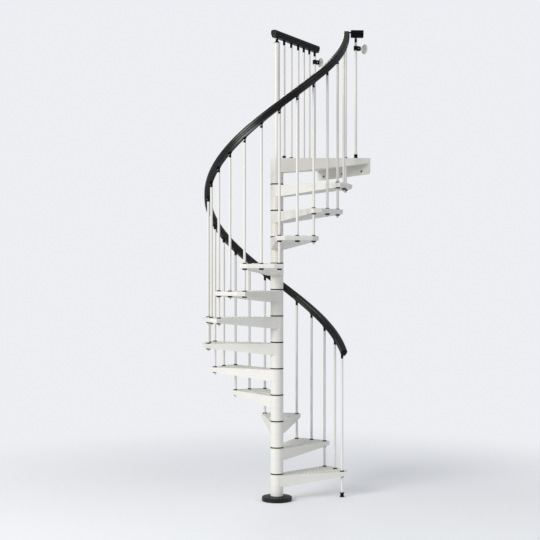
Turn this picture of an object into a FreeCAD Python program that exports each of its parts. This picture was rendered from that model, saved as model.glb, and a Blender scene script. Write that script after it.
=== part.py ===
import FreeCAD, Part
import math
import os

# Spiral staircase in steel with a plastic handrail. Twelve treads and a landing are threaded on one
# pole, and tube balusters tie each tread to the next one up.
# Frame: origin on the floor at the pole's axis, +Z up, +Y towards the wall that carries the landing.
# Lengths in mm, angles in degrees from +X, anticlockwise seen from above.

# ---------------------------------------------------------------- driving dimensions
RISE = 210.0                    # height from one tread top to the next
TREADS = 12                     # treads below the landing
HALF_STEP = 14.275              # turn from one baluster to the next, half a tread's turn
LAST_ANGLE = 58.3               # direction of the last spiral baluster, beside the landing
BALUSTER_R = 547.0              # circle that the spiral balusters stand on
PLATE = 3.0                     # steel plate of the treads and the landing

# pole, collars and rings
POLE_D = 48.3
POLE_WALL = 3.2
COLLAR_D = 101.6
COLLAR_WALL = 2.0
RING_PROUD = 1.2                # ring beyond the collars it parts
RING_H = 9.0
FIT = 0.3                       # radial clearance of what slides over a tube

# base
PLATE_H = 8.0
FLOOR_BOLT_CIRCLE = 170.0
FLOOR_BOLT_HOLE_D = 13.0
FLOOR_BOLTS = 4
SOCKET_WALL = 5.0
SOCKET_H = 50.0
COVER_D = 240.0
COVER_RIM_H = 32.0
COVER_TOP_H = 40.0
COVER_WALL = 3.0
COVER_GAP = 3.5                 # open recess between the cover and the collar
COVER_BEVEL = 4.0
COVER_SHOULDER = 8.0            # level ring round the cover's hole
COVER_SKIRT = 12.0              # how far the hole's edge turns down

# treads, from the pole outwards
TREAD_DROP = 4.5                # tread top below its collar's top
TREAD_DEPTH_IN = 90.5           # side depth at the collar
TREAD_DEPTH_TIP = 30.0          # depth of the tip's edge
TIP_MARGIN = 43.0               # tip edge beyond the baluster circle
CORNER_AHEAD = 27.0             # side corner beyond an end hole, along the tread
CORNER_OUT = 30.0               # side corner beyond an end hole, across the tread
CHAMFER_ANGLE = 30.0
SIDE_INSET = 1.0                # side plates meet the collar this far inside its surface
TRAY = 1.5                      # folded sheet that caps the tread
TRAY_LIP = 20.0
TRAY_START = 135.0
TRAY_ROUND = 1.2

# balusters and their fittings
BALUSTER_D = 20.0
BALUSTER_WALL = 1.5
FIRST_TOP = 1122.0              # top of the first baluster's tube above the floor
UPPER_WASHER_D = 32.0
UPPER_WASHER_H = 8.0
LOWER_WASHER_D = 37.0
LOWER_WASHER_END_D = 31.0
LOWER_WASHER_DROP = 45.0        # lower washer's underside below the tread's top
WASHER_BEVEL = 2.0
LOWER_WASHER_TAPER_H = 5.0
NUT_D = 20.0
NUT_TOP_D = 22.0
NUT_END_D = 11.0
NUT_H = 15.0
PLUG_DEPTH = 14.0               # how far plugs go into a tube's end
FLOOR_FOOT_D = 37.0
FLOOR_FOOT_WAIST_D = 28.0
FLOOR_FOOT_H = 36.0
FLOOR_FOOT_SEAT = 10.0
LANDING_FOOT_D = 32.0
LANDING_FOOT_WAIST_D = 27.0
LANDING_FOOT_H = 31.0
LANDING_FOOT_SEAT = 6.0
FOOT_FLANGE_SHARE = 0.25        # each flange's share of a foot's height
FOOT_CONE_H = 3.0
FOOT_TOP_NARROWER = 2.0         # upper flange against the lower one, in diameter

# handrails
RAIL_W = 50.0
RAIL_H = 58.0
RAIL_STEM_W = 34.0              # width of the rail's narrow lower part
RAIL_STEM_H = 15.0
RAIL_SHELF_H = 4.0              # slope from the lower part out to the full width
RAIL_GROOVE = 3.5
RAIL_GROOVE_UP = 11.0           # groove above the lower part's top
RAIL_TOP_ROUND = 14.0
RAIL_OUT = 7.0                  # rail centre outside the baluster circle
RAIL_START_PAST = 12.0          # rail past the first baluster
RAIL_END_PAST = 25.0            # rail past the last baluster
CONNECTOR_H = 33.0              # from a spiral tube's top to the rail's underside
LANDING_CONNECTOR_H = 38.0
CONNECTOR_D = 20.0
SADDLE_L = 34.0
SADDLE_W = 18.0
SADDLE_H = 4.0
SADDLE_GAP = 0.4

# landing
LANDING_DEPTH_IN = 112.0
LANDING_DEPTH_END = 42.0
EDGE_MARGIN = 25.0              # landing side edge beyond the last spiral baluster
WALL_PLATE_H = 128.0
WALL_PLATE_T = 6.0
WALL_PLATE_ROUND = 28.0
WALL_BOLT_DROP = 98.0           # wall bolt line below the landing's top
WALL_BOLT_SPACING = 576.0       # between the two outer holes
WALL_BOLT_HOLE_D = 11.0
END_BALUSTER_OFFSET = (34.6, 74.6)  # from the last spiral baluster to the one beside the wall
WALL_REACH = 85.0               # wall face beyond the end baluster
LAST_BALUSTER_REACH = 61.0      # wall face beyond the landing rail's last baluster
LANDING_RAIL_BOTTOM = 962.0     # above the landing
LANDING_RAIL_PAST_POLE = 50.0
LANDING_RAIL_PAST_LAST = 46.0
WALL_SPACES = 3                 # closer baluster spaces nearest the wall
WALL_SPACE = 100.0
POLE_SPACES = 3                 # wider spaces nearest the pole
NEWEL_H = 922.0                 # pole above the landing
CAP_D = 50.0
CAP_FLARE_H = 19.0
CAP_STEM_D = 20.0
CAP_RIM_H = 2.0
CAP_HOLLOW = 1.4                # power that hollows the flare; 1 is a plain cone
CAP_STEPS = 6                   # straight facets that stand for the flare
CAP_PLUG_DEPTH = 25.0
STUB_BACK = 37.0                # stub rail before the end baluster
STUB_L = 94.0
LINK_D = 11.0
LINK_DROP = 19.0                # link's axis below the stub rail's top
LINK_IN = 12.0                  # link's ends inside the two rails, along the link

# wall brackets
CLAMP_DROP = 47.0               # clamp's middle below the landing rail balusters' tops
CLAMP_H = 35.0
CLAMP_D = 34.0
CLAMP_L = 59.0
CLAMP_ROUND = 6.0
DISC_D = 80.0
DISC_T = 7.0
DISC_ROUND = 3.0
ARM_D = 14.0
LUG_SHARE = 0.6                 # lug's width against the clamp's diameter

# ---------------------------------------------------------------- what follows from them
LANDING_TOP = RISE * (TREADS + 1)
PLATE_D = COVER_D - 2 * COVER_WALL - 2 * FIT        # the cover drops over the floor plate's edge
BALUSTER_BORE = BALUSTER_D / 2 + FIT                # radius of every hole that a baluster passes through
COLLAR_R = COLLAR_D / 2
TIP_R = BALUSTER_R + TIP_MARGIN
COLLAR_LOW = TREAD_DROP + RING_H - RISE             # collar's lower end below its tread's top
UNDER_SLOPE = (TREAD_DEPTH_IN - TREAD_DEPTH_TIP) / (TIP_R - COLLAR_R)
RING_D = COLLAR_D + 2 * RING_PROUD
RAIL_R = BALUSTER_R + RAIL_OUT
RAIL_CLIMB = RISE / 2 / math.radians(HALF_STEP)     # rise per radian
RAIL_SLOPE = math.degrees(math.atan(RAIL_CLIMB / RAIL_R))
SADDLE_SLOPE = math.degrees(math.atan(RAIL_CLIMB / BALUSTER_R))
FIRST_ANGLE = LAST_ANGLE - 2 * TREADS * HALF_STEP
LAST_BALUSTER = (BALUSTER_R * math.cos(math.radians(LAST_ANGLE)),
                 BALUSTER_R * math.sin(math.radians(LAST_ANGLE)))
END_BALUSTER = (LAST_BALUSTER[0] + END_BALUSTER_OFFSET[0], LAST_BALUSTER[1] + END_BALUSTER_OFFSET[1])
STUB_ANGLE = math.degrees(math.atan2(END_BALUSTER_OFFSET[1], END_BALUSTER_OFFSET[0]))
WALL_Y = END_BALUSTER[1] + WALL_REACH
SIDE_ANGLE = math.degrees(math.acos((COLLAR_R - EDGE_MARGIN) / BALUSTER_R)) - LAST_ANGLE
LANDING_RAIL_ANGLE = 180.0 - LAST_ANGLE
LANDING_RAIL_Z = LANDING_TOP + LANDING_RAIL_BOTTOM
LANDING_TUBE_TOP = LANDING_RAIL_Z - LANDING_CONNECTOR_H
CLAMP_Z = LANDING_TUBE_TOP - CLAMP_DROP

Y_AXIS = FreeCAD.Vector(0, 1, 0)
Z_AXIS = FreeCAD.Vector(0, 0, 1)
ORIGIN = FreeCAD.Vector(0, 0, 0)


# ---------------------------------------------------------------- shape helpers
def rod(radius, low, high, x=0.0, y=0.0):
    """Upright cylinder from one height to another."""
    return Part.makeCylinder(radius, high - low, FreeCAD.Vector(x, y, low), Z_AXIS)


def tube(radius, wall, low, high, x=0.0, y=0.0):
    """Upright tube open at both ends."""
    return rod(radius, low, high, x, y).cut(rod(radius - wall, low - 1, high + 1, x, y))


def prism(points, low, high):
    """Upright prism over a plan outline."""
    corners = [FreeCAD.Vector(x, y, low) for x, y in points]
    wire = Part.makePolygon(corners + corners[:1])
    return Part.Face(wire).extrude(FreeCAD.Vector(0, 0, high - low))


def turned(profile):
    """Solid turned about +Z from a closed outline of (radius, height) points."""
    corners = [FreeCAD.Vector(r, 0, z) for r, z in profile]
    wire = Part.makePolygon(corners + corners[:1])
    return Part.Face(wire).revolve(ORIGIN, Z_AXIS, 360)


def inset(points, distance):
    """Anticlockwise outline moved inwards by a distance, or outwards where it is negative."""
    moved = []
    count = len(points)
    for i in range(count):
        lines = []
        for a, b in ((points[i - 1], points[i]), (points[i], points[(i + 1) % count])):
            length = math.dist(a, b)
            direction = ((b[0] - a[0]) / length, (b[1] - a[1]) / length)
            lines.append((a[0] - direction[1] * distance, a[1] + direction[0] * distance, direction))
        (ax, ay, u), (bx, by, v) = lines
        along = ((bx - ax) * v[1] - (by - ay) * v[0]) / (u[0] * v[1] - u[1] * v[0])
        moved.append((ax + along * u[0], ay + along * u[1]))
    return moved


def placed(shape, angle=0.0, height=0.0, x=0.0, y=0.0):
    """Copy turned about the pole, then moved."""
    copy = shape.copy()
    copy.rotate(ORIGIN, Z_AXIS, angle)
    copy.translate(FreeCAD.Vector(x, y, height))
    return copy


def polar(radius, angle):
    """Plan point at a radius and a direction."""
    return radius * math.cos(math.radians(angle)), radius * math.sin(math.radians(angle))


def baluster_angle(k):
    """Direction of spiral baluster k, counted from the floor up."""
    return FIRST_ANGLE + k * HALF_STEP


def baluster_top(k):
    """Height of the top of spiral baluster k's tube."""
    return FIRST_TOP + k * RISE / 2


def save(node, shapes):
    """Write one node's solids to its file."""
    Part.makeCompound(shapes).exportStep("parts/" + node + ".step")


os.makedirs("parts", exist_ok=True)


# ---------------------------------------------------------------- base
def base_plate():
    """Round floor plate with a socket that the pole stands in."""
    plate = rod(PLATE_D / 2, 0, PLATE_H)
    for i in range(FLOOR_BOLTS):
        x, y = polar(FLOOR_BOLT_CIRCLE / 2, (i + 0.5) * 360 / FLOOR_BOLTS)
        plate = plate.cut(rod(FLOOR_BOLT_HOLE_D / 2, -1, PLATE_H + 1, x, y))
    bore = POLE_D / 2 + FIT
    socket = tube(bore + SOCKET_WALL, SOCKET_WALL, PLATE_H, SOCKET_H)
    return plate.fuse(socket).removeSplitter()


def base_cover():
    """Moulded cover over the floor plate: a rim and a top that rises to the collar."""
    rim = COVER_D / 2
    hole = COLLAR_R + COVER_GAP
    skirt_end = COVER_TOP_H - COVER_SKIRT
    return turned([(rim - COVER_WALL, 0), (rim, 0), (rim, COVER_RIM_H - COVER_BEVEL),
                   (rim - COVER_BEVEL, COVER_RIM_H), (hole + COVER_SHOULDER, COVER_TOP_H),
                   (hole, COVER_TOP_H), (hole, skirt_end), (hole + COVER_WALL, skirt_end),
                   (hole + COVER_SHOULDER, COVER_TOP_H - COVER_WALL),
                   (rim - 2 * COVER_WALL, COVER_RIM_H - COVER_WALL),
                   (rim - COVER_WALL, COVER_RIM_H - 2 * COVER_WALL)])


save("base_plate", [base_plate()])
save("base_cover", [base_cover()])

# ---------------------------------------------------------------- pole and rings
save("center_pole", [tube(POLE_D / 2, POLE_WALL, PLATE_H, LANDING_TOP + NEWEL_H)])

ring = tube(RING_D / 2, (RING_D - POLE_D) / 2 - FIT, 0, RING_H)
save("spacer_rings", [placed(ring, 0, n * RISE) for n in range(1, TREADS + 1)])


# ---------------------------------------------------------------- treads
def tread_outline():
    """Plan of the welded box: sides touching the collar, a chamfered tip."""
    hole_x, hole_y = polar(BALUSTER_R, HALF_STEP)
    corner = (hole_x + CORNER_AHEAD, hole_y + CORNER_OUT)
    tip_half = corner[1] - (TIP_R - corner[0]) / math.tan(math.radians(CHAMFER_ANGLE))
    reach = math.hypot(*corner)
    touch = COLLAR_R - SIDE_INSET
    touch_angle = math.degrees(math.atan2(corner[1], corner[0]) + math.acos(touch / reach))
    start = polar(touch, touch_angle)
    upper = [(TIP_R, tip_half), corner, start]
    lower = [(x, -y) for x, y in reversed(upper)]
    return lower + upper


def tread_side(rise_off, top):
    """Prism of the box's side view, its underside raised and its top lowered by what is given."""
    far = TIP_R + TIP_MARGIN
    bottom_far = -TREAD_DEPTH_TIP + TIP_MARGIN * UNDER_SLOPE + rise_off
    bottom_in = -TREAD_DEPTH_IN + rise_off
    outline = [(-COLLAR_R, -top), (-COLLAR_R, bottom_in), (COLLAR_R, bottom_in),
               (far, bottom_far), (far, -top)]
    corners = [FreeCAD.Vector(x, -BALUSTER_R, z) for x, z in outline]
    face = Part.Face(Part.makePolygon(corners + corners[:1]))
    return face.extrude(FreeCAD.Vector(0, 2 * BALUSTER_R, 0))


def tread_tray(outline):
    """Folded cap sheet with a lip down the sides and the tip."""
    sheet = prism(inset(outline, -TRAY), -TRAY_LIP, 0)
    keep = Part.makeBox(2 * BALUSTER_R, 2 * BALUSTER_R, 2 * TRAY_LIP,
                        FreeCAD.Vector(TRAY_START, -BALUSTER_R, -1.5 * TRAY_LIP))
    sheet = sheet.common(keep)
    edges = [e for e in sheet.Edges
             if all(abs(v.Z) < 0.01 for v in e.Vertexes)
             and not all(abs(v.X - TRAY_START) < 0.01 for v in e.Vertexes)]
    return sheet.makeFillet(TRAY_ROUND, edges)


def tread():
    """One tread with its top at height 0: hollow box, cap sheet, and the collar welded to it."""
    outline = tread_outline()
    depth = 2 * TREAD_DEPTH_IN
    box = prism(outline, -depth, 0).common(tread_side(0, TRAY))
    box = box.fuse(tread_tray(outline))
    hollow = prism(inset(outline, PLATE), -depth, 0).common(tread_side(PLATE, TRAY + PLATE))
    box = box.cut(hollow.cut(rod(COLLAR_R, -depth, depth)))
    box = box.fuse(rod(COLLAR_R, COLLAR_LOW, TREAD_DROP))
    box = box.cut(rod(COLLAR_R - COLLAR_WALL, -RISE, 2 * TREAD_DROP))
    for angle in (-HALF_STEP, 0.0, HALF_STEP):
        box = box.cut(rod(BALUSTER_BORE, -depth, 1, *polar(BALUSTER_R, angle)))
    return box


standard_tread = tread()
lowest = tube(COLLAR_R, COLLAR_WALL, PLATE_H + TREAD_DROP - RISE, COLLAR_LOW)
for n in range(1, TREADS + 1):
    shape = standard_tread
    if n == 1:
        shape = shape.fuse(lowest).removeSplitter()
    save("tread_%02d" % n, [placed(shape, baluster_angle(2 * n - 1), n * RISE - TREAD_DROP)])


# ---------------------------------------------------------------- landing
def landing_outline():
    """Plan of the landing: a triangle from the collar to the wall."""
    touch = COLLAR_R - SIDE_INSET
    start = polar(touch, -SIDE_ANGLE)
    run = (WALL_Y - start[1]) / math.cos(math.radians(SIDE_ANGLE))
    end = (start[0] + run * math.sin(math.radians(SIDE_ANGLE)), WALL_Y)
    return [start, end, (-end[0], end[1]), (-start[0], start[1])]


def landing_side(rise_off, top, back):
    """Prism of the landing's side view, offset inwards by what is given."""
    bottom_in = -LANDING_DEPTH_IN + rise_off
    bottom_end = -LANDING_DEPTH_END + rise_off
    outline = [(-COLLAR_R, -top), (-COLLAR_R, bottom_in), (COLLAR_R, bottom_in),
               (WALL_Y - back, bottom_end), (WALL_Y - back, -top)]
    corners = [FreeCAD.Vector(-WALL_Y, y, z) for y, z in outline]
    face = Part.Face(Part.makePolygon(corners + corners[:1]))
    return face.extrude(FreeCAD.Vector(2 * WALL_Y, 0, 0))


def wall_plate(half):
    """Upright plate bolted to the wall, with rounded lower corners."""
    corner = FreeCAD.Vector(-half, WALL_Y - WALL_PLATE_T, -WALL_PLATE_H)
    plate = Part.makeBox(2 * half, WALL_PLATE_T, WALL_PLATE_H, corner)
    corners = [e for e in plate.Edges
               if abs(e.Length - WALL_PLATE_T) < 0.01 and all(v.Z < -WALL_PLATE_H / 2 for v in e.Vertexes)]
    plate = plate.makeFillet(WALL_PLATE_ROUND, corners)
    for i in (-1, 0, 1):
        start = FreeCAD.Vector(i * WALL_BOLT_SPACING / 2, WALL_Y - 2 * WALL_PLATE_T, -WALL_BOLT_DROP)
        plate = plate.cut(Part.makeCylinder(WALL_BOLT_HOLE_D / 2, 3 * WALL_PLATE_T, start, Y_AXIS))
    return plate


def landing():
    """Landing at height 0: hollow box, wall plate, and the collar with its closed top."""
    outline = landing_outline()
    depth = 2 * LANDING_DEPTH_IN
    box = prism(outline, -depth, 0).common(landing_side(0, 0, 0))
    hollow = prism(inset(outline, PLATE), -depth, 0).common(landing_side(PLATE, PLATE, WALL_PLATE_T))
    box = box.cut(hollow.cut(rod(COLLAR_R, -depth, depth)))
    box = box.fuse(rod(COLLAR_R, RING_H - RISE, 0))
    box = box.fuse(wall_plate(outline[1][0]))
    box = box.cut(rod(COLLAR_R - COLLAR_WALL, -RISE, -PLATE))
    box = box.cut(rod(POLE_D / 2 + FIT, -RISE, 1))
    return box.cut(rod(BALUSTER_BORE, -depth, 1, *LAST_BALUSTER))


save("landing_platform", [placed(landing(), 0, LANDING_TOP)])


# ---------------------------------------------------------------- spiral balusters and their fittings
def baluster_foot_height(k):
    """Lower end of spiral baluster k: under the tread whose middle or rear hole it ends in."""
    if k == 0:
        return FLOOR_FOOT_SEAT
    return (k + 1) // 2 * RISE - TREAD_DROP - LOWER_WASHER_DROP


def spiral_baluster(k):
    """Tube of spiral baluster k."""
    x, y = polar(BALUSTER_R, baluster_angle(k))
    return tube(BALUSTER_D / 2, BALUSTER_WALL, baluster_foot_height(k), baluster_top(k), x, y)


save("through_balusters", [spiral_baluster(k) for k in range(0, 2 * TREADS + 1, 2)])
save("mid_balusters", [spiral_baluster(k) for k in range(1, 2 * TREADS, 2)])

upper = turned([(BALUSTER_BORE, 0), (UPPER_WASHER_D / 2, 0),
                (UPPER_WASHER_D / 2, UPPER_WASHER_H - WASHER_BEVEL),
                (UPPER_WASHER_D / 2 - WASHER_BEVEL, UPPER_WASHER_H), (BALUSTER_BORE, UPPER_WASHER_H)])
plug_r = BALUSTER_D / 2 - BALUSTER_WALL - FIT
nut = turned([(0, -NUT_H), (NUT_END_D / 2, -NUT_H), (NUT_D / 2, -NUT_H / 2), (NUT_TOP_D / 2, 0),
              (plug_r, 0), (plug_r, PLUG_DEPTH), (0, PLUG_DEPTH)])


def lower_washer(angle):
    """Washer under one hole of a tread with its top at height 0, cut to the sloping underside."""
    washer = turned([(BALUSTER_BORE, -LOWER_WASHER_DROP), (LOWER_WASHER_END_D / 2, -LOWER_WASHER_DROP),
                     (LOWER_WASHER_D / 2, LOWER_WASHER_TAPER_H - LOWER_WASHER_DROP),
                     (LOWER_WASHER_D / 2, -TREAD_DEPTH_TIP), (BALUSTER_BORE, -TREAD_DEPTH_TIP)])
    return placed(washer, 0, 0, *polar(BALUSTER_R, angle)).cut(tread_side(0, 0))


upper_washers = [placed(upper, 0, LANDING_TOP, *LAST_BALUSTER)]
lower_washers = []
nuts = []
under_holes = [lower_washer(angle) for angle in (-HALF_STEP, 0.0, HALF_STEP)]
for n in range(1, TREADS + 1):
    turn = baluster_angle(2 * n - 1)
    lower_washers += [placed(washer, turn, n * RISE - TREAD_DROP) for washer in under_holes]
    for k in (2 * n - 2, 2 * n - 1, 2 * n):
        x, y = polar(BALUSTER_R, baluster_angle(k))
        upper_washers.append(placed(upper, 0, n * RISE - TREAD_DROP, x, y))
        if k > 2 * n - 2:
            nuts.append(placed(nut, 0, baluster_foot_height(k), x, y))
save("upper_washers", upper_washers)
save("lower_washers", lower_washers)
save("baluster_end_nuts", nuts)


def foot(outer_d, waist_d, height, seat):
    """Moulded foot with a flange at each end, a waist, and a blind socket for the tube."""
    flange = height * FOOT_FLANGE_SHARE
    top_r = (outer_d - FOOT_TOP_NARROWER) / 2
    return turned([(0, 0), (outer_d / 2, 0), (outer_d / 2, flange), (waist_d / 2, flange + FOOT_CONE_H),
                   (waist_d / 2, height - flange - FOOT_CONE_H), (top_r, height - flange), (top_r, height),
                   (BALUSTER_BORE, height), (BALUSTER_BORE, seat), (0, seat)])


floor_foot = foot(FLOOR_FOOT_D, FLOOR_FOOT_WAIST_D, FLOOR_FOOT_H, FLOOR_FOOT_SEAT)
save("floor_foot", [placed(floor_foot, 0, 0, *polar(BALUSTER_R, FIRST_ANGLE))])


# ---------------------------------------------------------------- handrails
def rail_profile():
    """Rail section in the XZ plane, its underside's middle at the origin: half outline as (x, z)."""
    groove_low = RAIL_STEM_H + RAIL_GROOVE_UP
    return [(RAIL_STEM_W / 2, 0), (RAIL_STEM_W / 2, RAIL_STEM_H), (RAIL_W / 2, RAIL_STEM_H + RAIL_SHELF_H),
            (RAIL_W / 2, groove_low), (RAIL_W / 2 - RAIL_GROOVE, groove_low + RAIL_GROOVE),
            (RAIL_W / 2, groove_low + 2 * RAIL_GROOVE), (RAIL_W / 2, RAIL_H - RAIL_TOP_ROUND)]


def rail_wire():
    """Closed section: straight sides and a top with rounded shoulders."""
    right = [FreeCAD.Vector(x, 0, z) for x, z in rail_profile()]
    left = [FreeCAD.Vector(-v.x, 0, v.z) for v in right]
    flat = RAIL_W / 2 - RAIL_TOP_ROUND
    turn = RAIL_TOP_ROUND * math.sin(math.radians(45))
    shoulder = FreeCAD.Vector(flat + turn, 0, RAIL_H - RAIL_TOP_ROUND + turn)
    top = FreeCAD.Vector(flat, 0, RAIL_H)
    edges = [Part.LineSegment(left[0], right[0]).toShape()]
    edges += [Part.LineSegment(a, b).toShape() for a, b in zip(right, right[1:])]
    edges.append(Part.Arc(right[-1], shoulder, top).toShape())
    edges.append(Part.LineSegment(top, FreeCAD.Vector(-top.x, 0, top.z)).toShape())
    edges.append(Part.Arc(FreeCAD.Vector(-top.x, 0, top.z), FreeCAD.Vector(-shoulder.x, 0, shoulder.z),
                          left[-1]).toShape())
    edges += [Part.LineSegment(a, b).toShape() for a, b in zip(left[::-1], left[-2::-1])]
    return Part.Wire(edges)


def spiral_rail():
    """Rail swept along the helix over the spiral balusters."""
    before = math.degrees(RAIL_START_PAST / RAIL_R)
    after = math.degrees(RAIL_END_PAST / RAIL_R)
    span = math.radians(2 * TREADS * HALF_STEP + before + after)
    path = Part.makeHelix(2 * math.pi * RAIL_CLIMB, span * RAIL_CLIMB, RAIL_R)
    section = rail_wire()
    section.rotate(ORIGIN, FreeCAD.Vector(1, 0, 0), RAIL_SLOPE)
    section.translate(FreeCAD.Vector(RAIL_R, 0, 0))
    solid = Part.Wire(path).makePipeShell([section], True, True)
    start_height = FIRST_TOP + CONNECTOR_H - math.radians(before) * RAIL_CLIMB
    return placed(solid, FIRST_ANGLE - before, start_height)


def straight_rail(length):
    """Level rail along +Y from the origin."""
    return Part.Face(rail_wire()).extrude(FreeCAD.Vector(0, length, 0))


def connector(height):
    """Connector at height 0: plug in the tube and a body up to a height."""
    return turned([(0, -PLUG_DEPTH), (plug_r, -PLUG_DEPTH), (plug_r, 0), (CONNECTOR_D / 2, 0),
                   (CONNECTOR_D / 2, height), (0, height)])


def spiral_connector():
    """Connector whose head is cut to the rail's slope and ends in a saddle; it stands at the origin."""
    saddle = Part.makeBox(SADDLE_W, SADDLE_L, SADDLE_H,
                          FreeCAD.Vector(-SADDLE_W / 2, -SADDLE_L / 2, -SADDLE_H - SADDLE_GAP))
    above = Part.makeBox(2 * SADDLE_L, 4 * SADDLE_L, 2 * SADDLE_L,
                         FreeCAD.Vector(-SADDLE_L, -2 * SADDLE_L, -SADDLE_H / 2 - SADDLE_GAP))
    for piece in (saddle, above):
        piece.rotate(ORIGIN, FreeCAD.Vector(1, 0, 0), SADDLE_SLOPE)
        piece.translate(FreeCAD.Vector(0, 0, CONNECTOR_H))
    return connector(CONNECTOR_H + SADDLE_L / 2).cut(above).fuse(saddle)


spiral = spiral_rail()
save("spiral_handrail", [spiral])
head = placed(spiral_connector(), 0, 0, BALUSTER_R, 0)
save("rail_connectors", [placed(head, baluster_angle(k), baluster_top(k)) for k in range(2 * TREADS + 1)])

last_r = (WALL_Y - LAST_BALUSTER_REACH) / math.sin(math.radians(LANDING_RAIL_ANGLE))
wide = (last_r - WALL_SPACES * WALL_SPACE) / POLE_SPACES
row = [wide * (i + 1) for i in range(POLE_SPACES)]
row += [last_r - WALL_SPACE * i for i in reversed(range(WALL_SPACES))]
rail_points = [polar(r, LANDING_RAIL_ANGLE) for r in row]
stands = rail_points + [END_BALUSTER]

landing_rail = straight_rail(LANDING_RAIL_PAST_POLE + last_r + LANDING_RAIL_PAST_LAST)
landing_rail.translate(FreeCAD.Vector(0, -LANDING_RAIL_PAST_POLE, 0))
save("landing_handrail", [placed(landing_rail, LANDING_RAIL_ANGLE - 90, LANDING_RAIL_Z)])
stub = straight_rail(STUB_L)
stub.translate(FreeCAD.Vector(0, -STUB_BACK, 0))
stub = placed(stub, STUB_ANGLE - 90, LANDING_RAIL_Z, *END_BALUSTER)
save("stub_handrail", [stub])

# ---------------------------------------------------------------- landing balusters and their fittings
landing_tube = tube(BALUSTER_D / 2, BALUSTER_WALL, LANDING_TOP + LANDING_FOOT_SEAT, LANDING_TUBE_TOP)
landing_foot = foot(LANDING_FOOT_D, LANDING_FOOT_WAIST_D, LANDING_FOOT_H, LANDING_FOOT_SEAT)
level_connector = connector(LANDING_CONNECTOR_H)
save("landing_balusters", [placed(landing_tube, 0, 0, x, y) for x, y in stands])
save("landing_baluster_feet", [placed(landing_foot, 0, LANDING_TOP, x, y) for x, y in stands])
save("landing_rail_connectors", [placed(level_connector, 0, LANDING_TUBE_TOP, x, y) for x, y in stands])


def newel_cap():
    """Flared cap in the pole's open end, with the stem that carries the landing rail."""
    rise = LANDING_RAIL_BOTTOM - NEWEL_H
    bore = POLE_D / 2 - POLE_WALL - FIT
    stem = CAP_STEM_D / 2
    points = [(0, -CAP_PLUG_DEPTH), (bore, -CAP_PLUG_DEPTH), (bore, 0), (CAP_D / 2, 0)]
    points.append((CAP_D / 2, CAP_RIM_H))
    for i in range(1, CAP_STEPS + 1):
        share = i / CAP_STEPS
        radius = stem + (CAP_D / 2 - stem) * (1 - share) ** CAP_HOLLOW
        points.append((radius, CAP_RIM_H + CAP_FLARE_H * share))
    return turned(points + [(stem, rise), (0, rise)])


save("newel_cap", [placed(newel_cap(), 0, LANDING_TOP + NEWEL_H)])


def rail_link():
    """Short bar between the spiral rail's upper end and the stub rail."""
    height = LANDING_RAIL_Z + RAIL_H - LINK_DROP
    start = FreeCAD.Vector(*polar(RAIL_R, LAST_ANGLE - math.degrees(LINK_IN / RAIL_R)), height)
    along_x, along_y = polar(STUB_BACK - LINK_IN, STUB_ANGLE)
    end = FreeCAD.Vector(END_BALUSTER[0] - along_x, END_BALUSTER[1] - along_y, height)
    bar = Part.makeCylinder(LINK_D / 2, (end - start).Length, start, end - start)
    return bar.cut(spiral).cut(stub)


link = max(rail_link().Solids, key=lambda solid: solid.Volume)
save("rail_link", [link])


# ---------------------------------------------------------------- wall brackets
def wall_clamp():
    """Clamp round a tube at the origin, with a round-cornered lug towards the wall along +Y."""
    reach = CLAMP_L - CLAMP_D / 2
    width = CLAMP_D * LUG_SHARE
    lug = Part.makeBox(width, reach, CLAMP_H, FreeCAD.Vector(-width / 2, 0, -CLAMP_H / 2))
    lug = lug.makeFillet(CLAMP_ROUND, [e for e in lug.Edges if all(v.Y > reach / 2 for v in e.Vertexes)
                                       and abs(e.Length - width) < 0.01])
    body = rod(CLAMP_D / 2, -CLAMP_H / 2, CLAMP_H / 2).fuse(lug)
    return body.cut(rod(BALUSTER_BORE, -CLAMP_H, CLAMP_H)).removeSplitter()


def wall_disc(reach):
    """Round plate on the wall with the arm that enters the clamp's lug, for a tube at the origin."""
    disc = Part.makeCylinder(DISC_D / 2, DISC_T, FreeCAD.Vector(0, reach - DISC_T, 0), Y_AXIS)
    rim = [e for e in disc.Edges if e.Length > DISC_D and all(v.Y < reach - DISC_T / 2 for v in e.Vertexes)]
    disc = disc.makeFillet(DISC_ROUND, rim)
    tip = CLAMP_L - CLAMP_D / 2
    arm = Part.makeCylinder(ARM_D / 2, reach - DISC_T - tip, FreeCAD.Vector(0, tip, 0), Y_AXIS)
    return disc.fuse(arm)


clamp = wall_clamp()
spots = ((END_BALUSTER, WALL_REACH), (rail_points[-1], LAST_BALUSTER_REACH))
save("wall_clamps", [placed(clamp, 0, CLAMP_Z, *spot) for spot, reach in spots])
save("wall_discs", [placed(wall_disc(reach), 0, CLAMP_Z, *spot) for spot, reach in spots])
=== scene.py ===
import math

import bpy
from mathutils import Matrix, Vector


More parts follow.
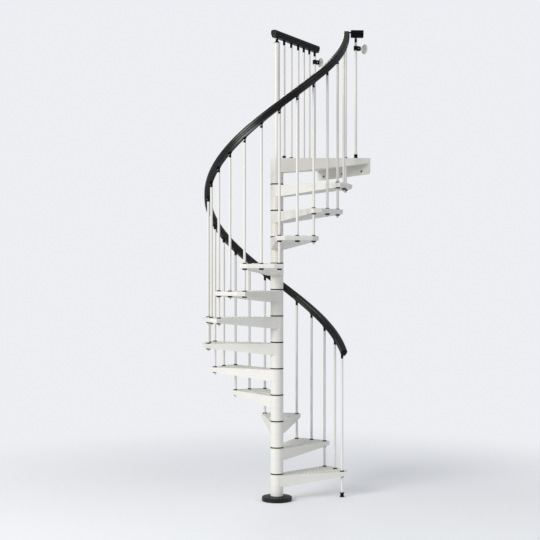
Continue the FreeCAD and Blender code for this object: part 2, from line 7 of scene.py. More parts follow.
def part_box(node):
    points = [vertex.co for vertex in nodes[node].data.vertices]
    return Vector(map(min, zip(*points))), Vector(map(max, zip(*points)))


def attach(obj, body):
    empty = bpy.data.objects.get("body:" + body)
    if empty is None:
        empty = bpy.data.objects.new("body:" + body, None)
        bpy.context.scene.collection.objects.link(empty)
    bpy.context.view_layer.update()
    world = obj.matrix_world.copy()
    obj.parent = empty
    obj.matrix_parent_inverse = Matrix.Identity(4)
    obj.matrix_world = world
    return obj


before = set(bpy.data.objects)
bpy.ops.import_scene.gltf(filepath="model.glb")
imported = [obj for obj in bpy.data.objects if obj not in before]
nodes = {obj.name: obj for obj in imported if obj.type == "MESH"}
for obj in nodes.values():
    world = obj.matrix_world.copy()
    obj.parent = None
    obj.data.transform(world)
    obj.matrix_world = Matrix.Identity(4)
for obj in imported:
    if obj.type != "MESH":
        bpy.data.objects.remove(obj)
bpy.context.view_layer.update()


# ---------------------------------------------------------------- floor plate
# A round steel plate that the pole's socket is welded to. It is zinc plated and bolted to the
# floor, and the moulded cover hides it.
NOISE_REACH = 0.20              # how far a noise value strays from its middle
TINT_REACH = 0.15               # the part of it that goes from one tint to the other


def new_finish(name, colour, roughness, metallic=0.0):
    """Material with one Principled shader. Patterns linked later take over its even colour and roughness."""
    finish = bpy.data.materials.new(name)
    finish.use_nodes = True
    shader = finish.node_tree.nodes["Principled BSDF"]
    shader.inputs["Base Color"].default_value = (*colour, 1)
    shader.inputs["Roughness"].default_value = roughness
    shader.inputs["Metallic"].default_value = metallic
    return finish, shader


def place_vector(finish):
    """Object coordinates, the place on the piece in metres."""
    return finish.node_tree.nodes.new("ShaderNodeTexCoord").outputs["Object"]


def grain(finish, vector, scale, detail=2.0):
    """Noise value over a piece, its scale in waves per metre."""
    noise = finish.node_tree.nodes.new("ShaderNodeTexNoise")
    noise.inputs["Scale"].default_value = scale
    noise.inputs["Detail"].default_value = detail
    finish.node_tree.links.new(vector, noise.inputs["Vector"])
    return noise.outputs["Fac"]


def spread(finish, value, low, high, socket):
    """Send a noise value, widened to a range, into a shader socket."""
    span = finish.node_tree.nodes.new("ShaderNodeMapRange")
    span.inputs["From Min"].default_value = 0.5 - NOISE_REACH
    span.inputs["From Max"].default_value = 0.5 + NOISE_REACH
    span.inputs["To Min"].default_value = low
    span.inputs["To Max"].default_value = high
    finish.node_tree.links.new(value, span.inputs["Value"])
    finish.node_tree.links.new(span.outputs["Result"], socket)


def tint(finish, value, dark, light, socket):
    """Send a colour between two tints, chosen by a noise value, into a shader socket."""
    ramp = finish.node_tree.nodes.new("ShaderNodeValToRGB")
    ramp.color_ramp.elements[0].position = 0.5 - TINT_REACH
    ramp.color_ramp.elements[0].color = (*dark, 1)
    ramp.color_ramp.elements[1].position = 0.5 + TINT_REACH
    ramp.color_ramp.elements[1].color = (*light, 1)
    finish.node_tree.links.new(value, ramp.inputs["Fac"])
    finish.node_tree.links.new(ramp.outputs["Color"], socket)


def relief(finish, value, height, socket, under=None):
    """Bump of a real height in metres from a noise value, over another bump where one is given."""
    bump = finish.node_tree.nodes.new("ShaderNodeBump")
    bump.inputs["Strength"].default_value = 1.0
    bump.inputs["Distance"].default_value = height
    finish.node_tree.links.new(value, bump.inputs["Height"])
    if under:
        finish.node_tree.links.new(under, bump.inputs["Normal"])
    finish.node_tree.links.new(bump.outputs["Normal"], socket)
    return bump.outputs["Normal"]


def coat(node, finish):
    """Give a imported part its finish."""
    for slot in nodes[node].material_slots:
        slot.material = finish


zinc, zinc_shader = new_finish("zinc_plate", (0.55, 0.56, 0.58), 0.35, metallic=1.0)
zinc_place = place_vector(zinc)
zinc_spangle = grain(zinc, zinc_place, 90.0, detail=3.0)
tint(zinc, zinc_spangle, (0.47, 0.48, 0.50), (0.62, 0.63, 0.65), zinc_shader.inputs["Base Color"])
spread(zinc, zinc_spangle, 0.28, 0.45, zinc_shader.inputs["Roughness"])
relief(zinc, grain(zinc, zinc_place, 700.0), 0.00002, zinc_shader.inputs["Normal"])
coat("base_plate", zinc)

# ---------------------------------------------------------------- base cover and black fittings
# The cover, rings, washers, feet, connectors and brackets are moulded in black polyamide with a
# fine spark-eroded grain. The cover drops over the floor plate; the rings part the collars.
def black_finish(name, level):
    """Black polyamide with a moulded grain, its shine set by a specular level."""
    finish, shader = new_finish(name, (0.003, 0.003, 0.0032), 0.45)
    place = place_vector(finish)
    flow = grain(finish, place, 40.0, detail=3.0)
    tint(finish, flow, (0.0020, 0.0020, 0.0021), (0.0042, 0.0042, 0.0045), shader.inputs["Base Color"])
    spread(finish, flow, 0.40, 0.52, shader.inputs["Roughness"])
    shader.inputs["Specular IOR Level"].default_value = level
    relief(finish, grain(finish, place, 1400.0, detail=1.0), 0.00003, shader.inputs["Normal"])
    return finish


coat("base_cover", black_finish("black_cover", 0.36))
black = black_finish("black_moulding", 0.12)
for node in ("spacer_rings", "upper_washers", "lower_washers", "floor_foot", "rail_connectors",
             "landing_baluster_feet", "landing_rail_connectors", "newel_cap", "rail_link", "wall_clamps"):
    coat(node, black)

# ---------------------------------------------------------------- pole, treads and balusters
# Mild steel tubes and folded, welded plate, powder coated in a satin cream-white. The coat lies
# in a faint orange peel. Each baluster that ends under a tread has a pale moulded nut there.
cream, cream_shader = new_finish("cream_powder_coat", (0.80, 0.79, 0.75), 0.40)
cream_place = place_vector(cream)
cream_cloud = grain(cream, cream_place, 6.0, detail=3.0)
tint(cream, cream_cloud, (0.775, 0.765, 0.715), (0.805, 0.795, 0.745), cream_shader.inputs["Base Color"])
spread(cream, grain(cream, cream_place, 45.0), 0.34, 0.44, cream_shader.inputs["Roughness"])
relief(cream, grain(cream, cream_place, 330.0, detail=1.0), 0.00004, cream_shader.inputs["Normal"])
TREADS = 12
for node in ["center_pole", "landing_platform", "through_balusters", "mid_balusters", "landing_balusters",
             "wall_discs"] + ["tread_%02d" % n for n in range(1, TREADS + 1)]:
    coat(node, cream)

nut, nut_shader = new_finish("nut_moulding", (0.62, 0.62, 0.60), 0.28)
nut_place = place_vector(nut)
tint(nut, grain(nut, nut_place, 60.0), (0.62, 0.62, 0.59), (0.70, 0.70, 0.67),
     nut_shader.inputs["Base Color"])
coat("baluster_end_nuts", nut)


# ---------------------------------------------------------------- anti-slip bumps
# The tread and landing tops are pressed with rows of round bumps that give the foot its grip.
# They are part of the steel sheet, under the same cream coat.
def fresh_start():
    """Select nothing, so that the next operator acts on its own piece alone."""
    bpy.ops.object.select_all(action="DESELECT")


def settle(piece):
    """Put a piece's place and turn into its mesh, so that its object sits at the origin."""
    fresh_start()
    piece.select_set(True)
    bpy.context.view_layer.objects.active = piece
    bpy.ops.object.transform_apply(location=True, rotation=True, scale=True)


def copy_of(piece, name):
    """Copy of a piece with its own mesh."""
    copy = piece.copy()
    copy.data = piece.data.copy()
    copy.name = name
    bpy.context.collection.objects.link(copy)
    return copy


def joined(pieces, name):
    """One piece out of several."""
    fresh_start()
    for piece in pieces:
        piece.select_set(True)
    bpy.context.view_layer.objects.active = pieces[0]
    bpy.ops.object.join()
    pieces[0].name = name
    return pieces[0]


def finished(piece, finish):
    """Give a finished piece its material, slot and body."""
    settle(piece)
    piece.data.materials.clear()
    piece.data.materials.append(finish)
    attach(piece, "root")


def polar(radius, angle):
    """Plan point at a radius in metres and a direction in degrees."""
    return radius * math.cos(math.radians(angle)), radius * math.sin(math.radians(angle))


def stacked(sides, across, foot, layers):
    """Round or many-sided piece built up from its foot: each layer's rise and how it narrows."""
    fresh_start()
    bpy.ops.mesh.primitive_circle_add(vertices=sides, radius=across / 2, fill_type="NGON",
                                      location=(0, 0, foot))
    piece = bpy.context.object
    settle(piece)
    bpy.ops.object.mode_set(mode="EDIT")
    bpy.ops.mesh.select_all(action="SELECT")
    for rise, narrowing in layers:
        bpy.ops.mesh.extrude_region_move(TRANSFORM_OT_translate={"value": (0, 0, rise)})
        bpy.ops.transform.resize(value=(narrowing, narrowing, 1))
    bpy.ops.mesh.select_all(action="SELECT")
    bpy.ops.mesh.normals_make_consistent(inside=False)
    bpy.ops.object.mode_set(mode="OBJECT")
    return piece


HALF_STEP = 14.275              # degrees from one baluster to the next
LAST_ANGLE = 58.3               # direction of the last spiral baluster
BALUSTER_R = 0.547
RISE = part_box("tread_%02d" % TREADS)[1][2] / TREADS
FIRST_ANGLE = LAST_ANGLE - 2 * TREADS * HALF_STEP
COLLAR_R = -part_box("tread_%02d" % TREADS)[0][0]
TREAD_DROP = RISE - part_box("upper_washers")[0][2]
LANDING_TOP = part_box("landing_platform")[1][2]

BUMP_D = 0.017
BUMP_H = 0.0058
BUMP_SUNK = 0.0004              # bump's foot inside the sheet
BUMP_STEP = 0.033               # from bump to bump along a row
ROW_STEP = 0.066                # from row to row
BUMP_SIDES = 12
BUMPS_FROM = 0.155              # first bump's distance from the pole's axis
EDGE_CLEAR = 0.017              # bump's middle inside the tread's edges
ROWS_BESIDE = 2                 # rows on each side of a tread's middle row
TIP_R = 0.590
TIP_HALF = 0.108                # half the tip's straight edge
CHAMFER_ANGLE = 30              # tip's chamfered corners
SIDE_FLARE = 0.2268             # tread's half width gained per metre from the pole

bump_whole = BUMP_H + BUMP_SUNK
bump_master = stacked(BUMP_SIDES, BUMP_D, 0.0,
                      [(0.55 * bump_whole, 0.86), (0.30 * bump_whole, 0.74), (0.15 * bump_whole, 0.5)])
bpy.ops.object.shade_smooth()


def bump_row(start, count, across):
    """Row of bumps that runs outwards along +X at one distance across."""
    row = copy_of(bump_master, "bump_row")
    row.location = (start, across, -BUMP_SUNK)
    settle(row)
    run = row.modifiers.new("run", "ARRAY")
    run.use_relative_offset = False
    run.use_constant_offset = True
    run.constant_offset_displace = (BUMP_STEP, 0, 0)
    run.count = count
    bpy.ops.object.modifier_apply(modifier="run")
    return row


def tread_row(step):
    """Row of a tread's bumps, so many steps off its middle line, kept clear of edges and washers."""
    across = step * ROW_STEP
    side = abs(across) + EDGE_CLEAR
    first = max(0, math.ceil(((side - COLLAR_R) / SIDE_FLARE + COLLAR_R - BUMPS_FROM) / BUMP_STEP))
    far = TIP_R - EDGE_CLEAR - max(0.0, side - TIP_HALF) * math.tan(math.radians(CHAMFER_ANGLE))
    for hole in (-HALF_STEP, 0, HALF_STEP):
        hole_x, hole_y = polar(BALUSTER_R, hole)
        if abs(hole_y - across) < BUMP_STEP / 2:
            far = min(far, hole_x - BUMP_STEP)
    last = math.floor((far - BUMPS_FROM) / BUMP_STEP)
    if last < first:
        return []
    return [bump_row(BUMPS_FROM + first * BUMP_STEP, last - first + 1, across)]


tread_rows = [row for step in range(-ROWS_BESIDE, ROWS_BESIDE + 1) for row in tread_row(step)]
tread_bumps = joined(tread_rows, "bump_field")
for n in range(1, TREADS + 1):
    field = copy_of(tread_bumps, "anti_slip_bumps_%02d" % n)
    field.location.z = n * RISE - TREAD_DROP
    field.rotation_euler.z = math.radians(FIRST_ANGLE + (2 * n - 1) * HALF_STEP)
    finished(field, cream)
bpy.data.objects.remove(tread_bumps)

LANDING_SIDE = 29.0             # landing's side edges, off the line to the wall
LANDING_CLEAR = 0.075           # bump's middle inside the side edges
LANDING_ROWS = 8
LANDING_FROM = 0.105            # first row's distance from the pole's axis
landing_rows = []
for i in range(LANDING_ROWS):
    along = LANDING_FROM + i * ROW_STEP
    half = along * math.tan(math.radians(LANDING_SIDE)) + COLLAR_R / math.cos(math.radians(LANDING_SIDE))
    steps = math.floor((half - LANDING_CLEAR) / BUMP_STEP)
    if steps >= 0:
        landing_rows.append(bump_row(-steps * BUMP_STEP, 2 * steps + 1, along))
landing_bumps = joined(landing_rows, "landing_anti_slip_bumps")
landing_bumps.location.z = LANDING_TOP
finished(landing_bumps, cream)
bpy.data.objects.remove(bump_master)

# ---------------------------------------------------------------- tread welds
# Each tread's box is welded to its collar: a bead round the collar above and below, and a row of
# short stitches down each side plate. The cream coat covers them.
BEAD_R = 0.0022
STITCHES = 6
STITCH_STEP = 0.013
STITCH_R = 0.0032
STITCH_STRETCH = 1.25           # stitch's height against its width
WELD_REACH = 101.6              # degrees from a tread's middle to where its side plates leave the collar
DEPTH_AT_COLLAR = 0.0905


def bead(height):
    """Weld bead round the collar's front at one height."""
    fresh_start()
    bpy.ops.mesh.primitive_circle_add(vertices=8, radius=BEAD_R, fill_type="NGON",
                                      location=(COLLAR_R, 0, height), rotation=(math.radians(90), 0, 0))
    piece = bpy.context.object
    settle(piece)
    piece.data.transform(Matrix.Rotation(math.radians(-WELD_REACH), 4, "Z"))
    bpy.ops.object.mode_set(mode="EDIT")
    bpy.ops.mesh.select_all(action="SELECT")
    bpy.ops.mesh.spin(steps=36, angle=math.radians(2 * WELD_REACH), center=(0, 0, 0), axis=(0, 0, 1))
    bpy.ops.mesh.select_all(action="SELECT")
    bpy.ops.mesh.normals_make_consistent(inside=False)
    bpy.ops.object.mode_set(mode="OBJECT")
    bpy.ops.object.shade_smooth()
    return piece


def stitch(angle, height):
    """One short weld stitch on the line where a side plate leaves the collar."""
    fresh_start()
    x, y = polar(COLLAR_R, angle)
    bpy.ops.mesh.primitive_uv_sphere_add(segments=10, ring_count=6, radius=STITCH_R,
                                         location=(x, y, height))
    piece = bpy.context.object
    bpy.ops.object.mode_set(mode="EDIT")
    bpy.ops.transform.resize(value=(1, 1, STITCH_STRETCH))
    bpy.ops.object.mode_set(mode="OBJECT")
    bpy.ops.object.shade_smooth()
    return piece


weld_parts = [bead(0.0), bead(-DEPTH_AT_COLLAR)]
for angle in (-WELD_REACH, WELD_REACH):
    weld_parts += [stitch(angle, -STITCH_STEP * (i + 1)) for i in range(STITCHES)]
weld_master = joined(weld_parts, "weld_set")
for n in range(1, TREADS + 1):
    weld = copy_of(weld_master, "tread_welds_%02d" % n)
    weld.location.z += n * RISE - TREAD_DROP
    weld.rotation_euler.z = math.radians(FIRST_ANGLE + (2 * n - 1) * HALF_STEP)
    finished(weld, cream)
bpy.data.objects.remove(weld_master)

# ---------------------------------------------------------------- handrails
# Extruded PVC, black and satin, bent in place over the connectors. The extrusion leaves fine
# lines along it, and a moulded cap closes each end.
RAIL_OUT = 0.007                # rail's middle outside the balusters' circle
RAIL_R = BALUSTER_R + RAIL_OUT
CLIMB = RISE / 2 / math.radians(HALF_STEP)          # metres per radian
RAIL_SLOPE = math.atan(CLIMB / RAIL_R)


def pvc_finish(name, level):
    """Black PVC with a light unevenness in gloss and a specular level, and its shader and place."""
    finish, shader = new_finish(name, (0.006, 0.006, 0.0063), 0.33)
    shader.inputs["Specular IOR Level"].default_value = level
    place = place_vector(finish)
    tint(finish, grain(finish, place, 25.0), (0.0035, 0.0035, 0.0038), (0.0060, 0.0060, 0.0064),
         shader.inputs["Base Color"])
    spread(finish, grain(finish, place, 60.0), 0.27, 0.36, shader.inputs["Roughness"])
    return finish, shader, place


pvc, pvc_shader, pvc_place = pvc_finish("handrail_pvc", 0.10)
relief(pvc, grain(pvc, pvc_place, 500.0, detail=1.0), 0.00002, pvc_shader.inputs["Normal"])
for node in ("landing_handrail", "stub_handrail"):
    coat(node, pvc)

# On the bent rail the lines follow the helix: they are rings in radius and in height less climb.
bent, bent_shader, bent_place = pvc_finish("handrail_pvc_bent", 0.38)
bent_tree = bent.node_tree


def worked_out(operation, first, second):
    """Output of one Math node of the bent rail's finish, on two sockets or numbers."""
    node = bent_tree.nodes.new("ShaderNodeMath")
    node.operation = operation
    for value, socket in zip((first, second), node.inputs):
        if isinstance(value, float):
            socket.default_value = value
        else:
            bent_tree.links.new(value, socket)
    return node.outputs[0]


split = bent_tree.nodes.new("ShaderNodeSeparateXYZ")
bent_tree.links.new(bent_place, split.inputs[0])
along_x, along_y = split.outputs["X"], split.outputs["Y"]
turn = worked_out("ARCTAN2", along_y, along_x)
level = worked_out("SUBTRACT", split.outputs["Z"], worked_out("MULTIPLY", turn, CLIMB))
full_turn = 2 * math.pi * CLIMB
level = worked_out("FLOORED_MODULO", level, full_turn)
square_x = worked_out("MULTIPLY", along_x, along_x)
square_y = worked_out("MULTIPLY", along_y, along_y)
radius = worked_out("SQRT", worked_out("ADD", square_x, square_y), 0.0)
lines_at = bent_tree.nodes.new("ShaderNodeCombineXYZ")
bent_tree.links.new(radius, lines_at.inputs["X"])
bent_tree.links.new(level, lines_at.inputs["Z"])
bent_lines = grain(bent, lines_at.outputs[0], 420.0, detail=1.0)
relief(bent, bent_lines, 0.000012, bent_shader.inputs["Normal"])
coat("spiral_handrail", bent)

RAIL_W = 0.050
STEM_W = 0.034
CAP_T = 0.0025
CAP_PROUD = 1.012               # cap's width against the rail's
CAP_EDGE = 0.0006
CAP_SHARP = 35                  # edges that turn more than this many degrees are rounded
fresh_start()
bpy.ops.mesh.primitive_plane_add(size=1)
cap_master = bpy.context.object
cap_master.scale = (STEM_W, CAP_T, 1)
cap_master.location = (0, CAP_T / 2, 0)
settle(cap_master)
bpy.ops.object.mode_set(mode="EDIT")
bpy.ops.mesh.select_all(action="SELECT")
# Each layer of the rail's section: its height, and its width against the one below.
for lift, widen in ((0.015, 1), (0.004, RAIL_W / STEM_W), (0.007, 1), (0.0035, 0.86), (0.0035, 1 / 0.86),
                    (0.011, 1), (0.005, 0.955), (0.004, 0.905), (0.0035, 0.83), (0.0015, 0.78)):
    bpy.ops.mesh.extrude_region_move(TRANSFORM_OT_translate={"value": (0, 0, lift)})
    bpy.ops.transform.resize(value=(widen, 1, 1))
bpy.ops.mesh.select_all(action="SELECT")
bpy.ops.mesh.remove_doubles(threshold=0.00001)
bpy.ops.mesh.normals_make_consistent(inside=False)
bpy.ops.object.mode_set(mode="OBJECT")
cap_master.data.transform(Matrix.Diagonal((CAP_PROUD, 1, 1, 1)))
soften = cap_master.modifiers.new("soften", "BEVEL")
soften.width = CAP_EDGE
soften.segments = 2
soften.angle_limit = math.radians(CAP_SHARP)
bpy.ops.object.modifier_apply(modifier="soften")
bpy.ops.object.shade_smooth_by_angle(angle=math.radians(CAP_SHARP))


def end_cap(name, matrix):
    """Moulded cap on one rail end; its underside's middle and its outward +Y go where the matrix says."""
    cap = copy_of(cap_master, name)
    cap.data.transform(matrix)
    finished(cap, pvc)


HALF_TURN = Matrix.Rotation(math.pi, 4, "Z")
START_PAST = 0.012              # spiral rail past its first baluster
END_PAST = 0.025                # spiral rail past its last baluster
FIRST_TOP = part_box("through_balusters")[1][2] - TREADS * RISE
CONNECTOR_H = 0.033             # from a tube's top to the rail's underside
rail_low = FIRST_TOP + CONNECTOR_H
for name, angle, past, flip in (("lower_rail_cap", FIRST_ANGLE, -START_PAST, HALF_TURN),
                                ("upper_rail_cap", LAST_ANGLE, END_PAST, Matrix.Identity(4))):
    at = math.radians(angle) + past / RAIL_R
    height = rail_low + (at - math.radians(FIRST_ANGLE)) * CLIMB
    end_cap(name, Matrix.Rotation(at, 4, "Z") @ Matrix.Translation((RAIL_R, 0, height))
            @ Matrix.Rotation(RAIL_SLOPE, 4, "X") @ flip)

LANDING_RAIL_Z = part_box("landing_handrail")[0][2]
RAIL_DIRECTION = 180 - LAST_ANGLE
PAST_POLE = 0.050               # landing rail past the pole
PAST_LAST = 0.046               # landing rail past its last baluster
WALL_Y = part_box("landing_platform")[1][1]
LAST_REACH = 0.061              # wall's face beyond the landing rail's last baluster
last_baluster_r = (WALL_Y - LAST_REACH) / math.sin(math.radians(RAIL_DIRECTION))
to_rail = Matrix.Rotation(math.radians(RAIL_DIRECTION - 90), 4, "Z")
pole_end = Matrix.Translation((0, -PAST_POLE, LANDING_RAIL_Z))
wall_end = Matrix.Translation((0, last_baluster_r + PAST_LAST, LANDING_RAIL_Z))
end_cap("landing_rail_cap_at_pole", to_rail @ pole_end @ HALF_TURN)
end_cap("landing_rail_cap_at_wall", to_rail @ wall_end)

END_OFFSET = (0.0346, 0.0746)   # from the last spiral baluster to the one beside the wall
STUB_ANGLE = math.degrees(math.atan2(END_OFFSET[1], END_OFFSET[0]))
STUB_BACK = 0.037               # stub rail before the baluster beside the wall
STUB_L = 0.094
last_x, last_y = polar(BALUSTER_R, LAST_ANGLE)
end_x, end_y = last_x + END_OFFSET[0], last_y + END_OFFSET[1]
to_stub = (Matrix.Translation((end_x, end_y, LANDING_RAIL_Z))
           @ Matrix.Rotation(math.radians(STUB_ANGLE - 90), 4, "Z"))
end_cap("stub_rail_cap_inner", to_stub @ Matrix.Translation((0, -STUB_BACK, 0)) @ HALF_TURN)
end_cap("stub_rail_cap_at_wall", to_stub @ Matrix.Translation((0, STUB_L - STUB_BACK, 0)))
bpy.data.objects.remove(cap_master)

# ---------------------------------------------------------------- screws
# Zinc-plated pan-head screws: one through each connector's head, one in the newel's stem, one in
# each wall clamp and three in each wall disc. Three hexagon bolts hold the wall plate.
steel, steel_shader = new_finish("zinc_plated_screw", (0.70, 0.70, 0.71), 0.28, metallic=1.0)
steel_place = place_vector(steel)
spread(steel, grain(steel, steel_place, 400.0), 0.22, 0.36, steel_shader.inputs["Roughness"])
tint(steel, grain(steel, steel_place, 150.0), (0.64, 0.64, 0.65), (0.76, 0.76, 0.77),
     steel_shader.inputs["Base Color"])

SCREW_D = 0.008
SCREW_H = 0.0024
RECESS_L = 0.5                  # cross recess against the head's diameter
RECESS_W = 0.12
screw_master = stacked(16, SCREW_D, 0.0,
                       [(0.45 * SCREW_H, 1.0), (0.35 * SCREW_H, 0.86), (0.20 * SCREW_H, 0.62)])
for turned_by in (0, 90):
    fresh_start()
    bpy.ops.mesh.primitive_cube_add(size=1, location=(0, 0, SCREW_H))
    cross_tool = bpy.context.object
    cross_tool.scale = (SCREW_D * RECESS_L, SCREW_D * RECESS_W, SCREW_H)
    cross_tool.rotation_euler.z = math.radians(turned_by)
    settle(cross_tool)
    fresh_start()
    screw_master.select_set(True)
    bpy.context.view_layer.objects.active = screw_master
    recess = screw_master.modifiers.new("recess", "BOOLEAN")
    recess.object = cross_tool
    recess.operation = "DIFFERENCE"
    bpy.ops.object.modifier_apply(modifier="recess")
    bpy.data.objects.remove(cross_tool)
bpy.ops.object.shade_smooth_by_angle(angle=math.radians(30))


def screws(name, spots):
    """Copies of the screw joined into one piece: each at a place, its head facing a direction."""
    placed = []
    for place, facing in spots:
        screw = copy_of(screw_master, name)
        turned = Vector(facing).to_track_quat("Z", "Y").to_matrix().to_4x4()
        screw.data.transform(Matrix.Translation(place) @ turned)
        placed.append(screw)
    finished(joined(placed, name), steel)


def facing_out(angle):
    """Level direction as a vector."""
    return (*polar(1.0, angle), 0)


CONNECTOR_R = 0.010
SCREW_UP = 0.019                # screw above a tube's top
STUB_SCREW_UP = 0.029           # the same at the stub rail
NEWEL_SCREW_DROP = 0.006        # newel's screw below the landing rail's underside
spiral_spots = []
for k in range(2 * TREADS + 1):
    angle = FIRST_ANGLE + k * HALF_STEP
    x, y = polar(BALUSTER_R + CONNECTOR_R, angle)
    spiral_spots.append(((x, y, FIRST_TOP + k * RISE / 2 + SCREW_UP), facing_out(angle)))
screws("connector_screws", spiral_spots)

TUBE_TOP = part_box("landing_balusters")[1][2]
landing_spots = []
outer_side = RAIL_DIRECTION + 90
WIDE_SPACES = 3                 # wider baluster spaces nearest the pole
WALL_SPACES = 3                 # closer ones nearest the wall
WALL_SPACE = 0.100
wide = (last_baluster_r - WALL_SPACES * WALL_SPACE) / WIDE_SPACES
stands = [wide * (i + 1) for i in range(WIDE_SPACES)]
stands += [last_baluster_r - WALL_SPACE * i for i in reversed(range(WALL_SPACES))]
for stand in stands:
    x, y = polar(stand, RAIL_DIRECTION)
    dx, dy = polar(CONNECTOR_R, outer_side)
    landing_spots.append(((x + dx, y + dy, TUBE_TOP + SCREW_UP), facing_out(outer_side)))
dx, dy = polar(CONNECTOR_R, STUB_ANGLE - 90)
landing_spots.append(((end_x + dx, end_y + dy, TUBE_TOP + STUB_SCREW_UP), facing_out(STUB_ANGLE - 90)))
dx, dy = polar(CONNECTOR_R, RAIL_DIRECTION - 180)
landing_spots.append(((dx, dy, LANDING_RAIL_Z - NEWEL_SCREW_DROP), facing_out(RAIL_DIRECTION - 180)))
screws("landing_connector_screws", landing_spots)

clamp_low, clamp_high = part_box("wall_clamps")
clamp_z = (clamp_low[2] + clamp_high[2]) / 2
LUG_HALF = 0.0102               # half the width of a clamp's lug
LUG_SCREW_ALONG = 0.020         # screw from the tube's axis towards the wall
far_x, far_y = polar(last_baluster_r, RAIL_DIRECTION)
clamp_spots = [((x + LUG_HALF, y + LUG_SCREW_ALONG, clamp_z), (1, 0, 0))
               for x, y in ((end_x, end_y), (far_x, far_y))]
screws("clamp_screws", clamp_spots)

DISC_T = 0.007
DISC_HOLES_R = 0.027
disc_spots = []
for x in (end_x, far_x):
    for angle in (0, 120, 240):
        dx, dz = polar(DISC_HOLES_R, angle)
        disc_spots.append(((x + dx, WALL_Y - DISC_T, clamp_z + dz), (0, -1, 0)))
screws("disc_screws", disc_spots)
bpy.data.objects.remove(screw_master)

BOLT_HEAD = 0.015
BOLT_HEAD_H = 0.0065
BOLT_D = 0.0098
BOLT_WASHER_D = 0.020
BOLT_WASHER_H = 0.0015
BOLT_EDGE = 0.0005
PLATE_T = 0.006
bolt_finish, bolt_shader = new_finish("dark_bolt", (0.10, 0.10, 0.10), 0.40, metallic=0.8)
bolt_place = place_vector(bolt_finish)
tint(bolt_finish, grain(bolt_finish, bolt_place, 200.0), (0.05, 0.05, 0.05), (0.12, 0.12, 0.12),
     bolt_shader.inputs["Base Color"])
spread(bolt_finish, grain(bolt_finish, bolt_place, 500.0), 0.33, 0.50, bolt_shader.inputs["Roughness"])
bolt_parts = []
for sides, across, foot, rise in ((20, BOLT_D, -PLATE_T, PLATE_T), (24, BOLT_WASHER_D, 0.0, BOLT_WASHER_H),
                                  (6, BOLT_HEAD, BOLT_WASHER_H, BOLT_HEAD_H)):
    part = stacked(sides, across, foot, [(rise, 1.0)])
    edge = part.modifiers.new("edge", "BEVEL")
    edge.width = BOLT_EDGE
    edge.segments = 2
    bpy.ops.object.modifier_apply(modifier="edge")
    bpy.ops.object.shade_smooth_by_angle(angle=math.radians(30))
    bolt_parts.append(part)
bolt_master = joined(bolt_parts, "bolt_master")
BOLT_SPACING = 0.288
BOLT_DROP = 0.098               # bolts below the landing's top
bolts = []
for i in (-1, 0, 1):
    bolt = copy_of(bolt_master, "wall_plate_bolt")
    bolt.data.transform(Matrix.Translation((i * BOLT_SPACING, WALL_Y - PLATE_T, LANDING_TOP - BOLT_DROP))
                        @ Matrix.Rotation(math.radians(90), 4, "X"))
    bolts.append(bolt)
finished(joined(bolts, "wall_plate_bolts"), bolt_finish)
bpy.data.objects.remove(bolt_master)

# ---------------------------------------------------------------- studio
# A pale round floor that fades into the backdrop colour, a broad key light from the left front, a
# narrow warm light from behind that edges the spiral rail's upper end, and a dim fill.
FLOOR_R = 4.5
FADE_FROM = 1.2                 # the floor is solid up to here
FADE_TO = 0.97 * FLOOR_R
floor_finish, floor_shader = new_finish("studio_floor", (0.94, 0.955, 0.97), 0.75)
floor_shader.inputs["Emission Color"].default_value = (0.94, 0.96, 1.0, 1)
floor_shader.inputs["Emission Strength"].default_value = 0.06
floor_nodes = floor_finish.node_tree.nodes
floor_links = floor_finish.node_tree.links
distance = floor_nodes.new("ShaderNodeVectorMath")
distance.operation = "LENGTH"
floor_links.new(place_vector(floor_finish), distance.inputs[0])
fade = floor_nodes.new("ShaderNodeMapRange")
fade.interpolation_type = "SMOOTHSTEP"
fade.inputs["From Min"].default_value = FADE_FROM
fade.inputs["From Max"].default_value = FADE_TO
floor_links.new(distance.outputs["Value"], fade.inputs["Value"])
clear = floor_nodes.new("ShaderNodeBsdfTransparent")
blend = floor_nodes.new("ShaderNodeMixShader")
floor_links.new(fade.outputs["Result"], blend.inputs["Fac"])
floor_links.new(floor_shader.outputs["BSDF"], blend.inputs[1])
floor_links.new(clear.outputs["BSDF"], blend.inputs[2])
floor_links.new(blend.outputs["Shader"], floor_nodes["Material Output"].inputs["Surface"])
fresh_start()
bpy.ops.mesh.primitive_circle_add(vertices=96, radius=FLOOR_R, fill_type="TRIFAN", location=(0, 0, 0))
floor = bpy.context.object
floor.name = "studio_floor"
floor.data.materials.append(floor_finish)

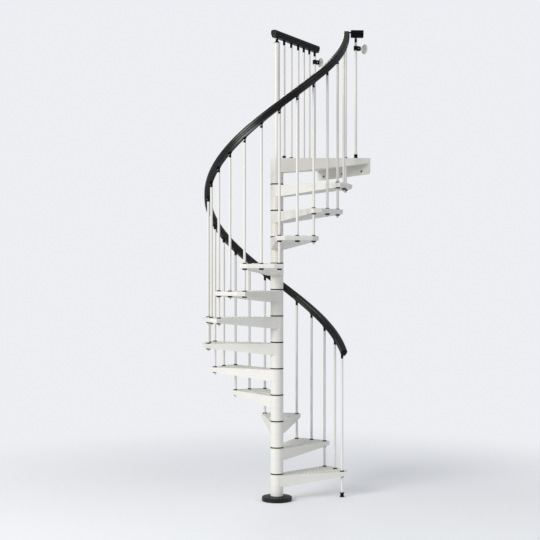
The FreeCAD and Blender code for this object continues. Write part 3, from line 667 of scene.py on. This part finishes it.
world = bpy.data.worlds.new("studio_world")
bpy.context.scene.world = world
world.use_nodes = True
sky = world.node_tree.nodes
sky_links = world.node_tree.links
seen = sky["Background"]
seen.inputs["Color"].default_value = (0.845, 0.858, 0.892, 1)
seen.inputs["Strength"].default_value = 1.0
lit = sky.new("ShaderNodeBackground")
lit.inputs["Color"].default_value = (0.93, 0.95, 1.0, 1)
lit.inputs["Strength"].default_value = 0.52
ray = sky.new("ShaderNodeLightPath")
choose = sky.new("ShaderNodeMixShader")
sky_links.new(ray.outputs["Is Camera Ray"], choose.inputs["Fac"])
sky_links.new(lit.outputs["Background"], choose.inputs[1])
sky_links.new(seen.outputs["Background"], choose.inputs[2])
sky_links.new(choose.outputs["Shader"], sky["World Output"].inputs["Surface"])


def softbox(name, place, target, width, height, power, colour):
    """Rectangular soft light that faces a target."""
    data = bpy.data.lights.new(name, "AREA")
    data.shape = "RECTANGLE"
    data.size, data.size_y = width, height
    data.energy = power
    data.color = colour
    light = bpy.data.objects.new(name, data)
    bpy.context.collection.objects.link(light)
    light.location = place
    light.rotation_euler = (Vector(target) - Vector(place)).to_track_quat("-Z", "Y").to_euler()
    return light


MIDDLE = (0, 0, 1.6)
RAIL_UPPER_END = (0.3, 0.4, 3.4)
softbox("key_light", (1.8, -9.0, 4.6), MIDDLE, 4.5, 4.5, 620, (1.0, 0.985, 0.955))
rim = softbox("rim_light", (-5.2, 1.1, 6.85), RAIL_UPPER_END, 2.0, 3.0, 9, (1.0, 0.93, 0.80))
rim.data.spread = math.radians(40)
softbox("fill_light", (7.0, 3.0, 3.5), MIDDLE, 4.0, 4.0, 40, (0.95, 0.97, 1.0))

camera_data = bpy.data.cameras.new("camera")
camera_data.sensor_width = 36.0
camera_data.lens = 75.12
camera = bpy.data.objects.new("camera", camera_data)
bpy.context.collection.objects.link(camera)
camera.location = (7.8475, -4.4133, 1.840)
camera.rotation_euler = (math.radians(90), 0, math.radians(61))
bpy.context.scene.camera = camera
bpy.context.scene.view_settings.view_transform = "Standard"
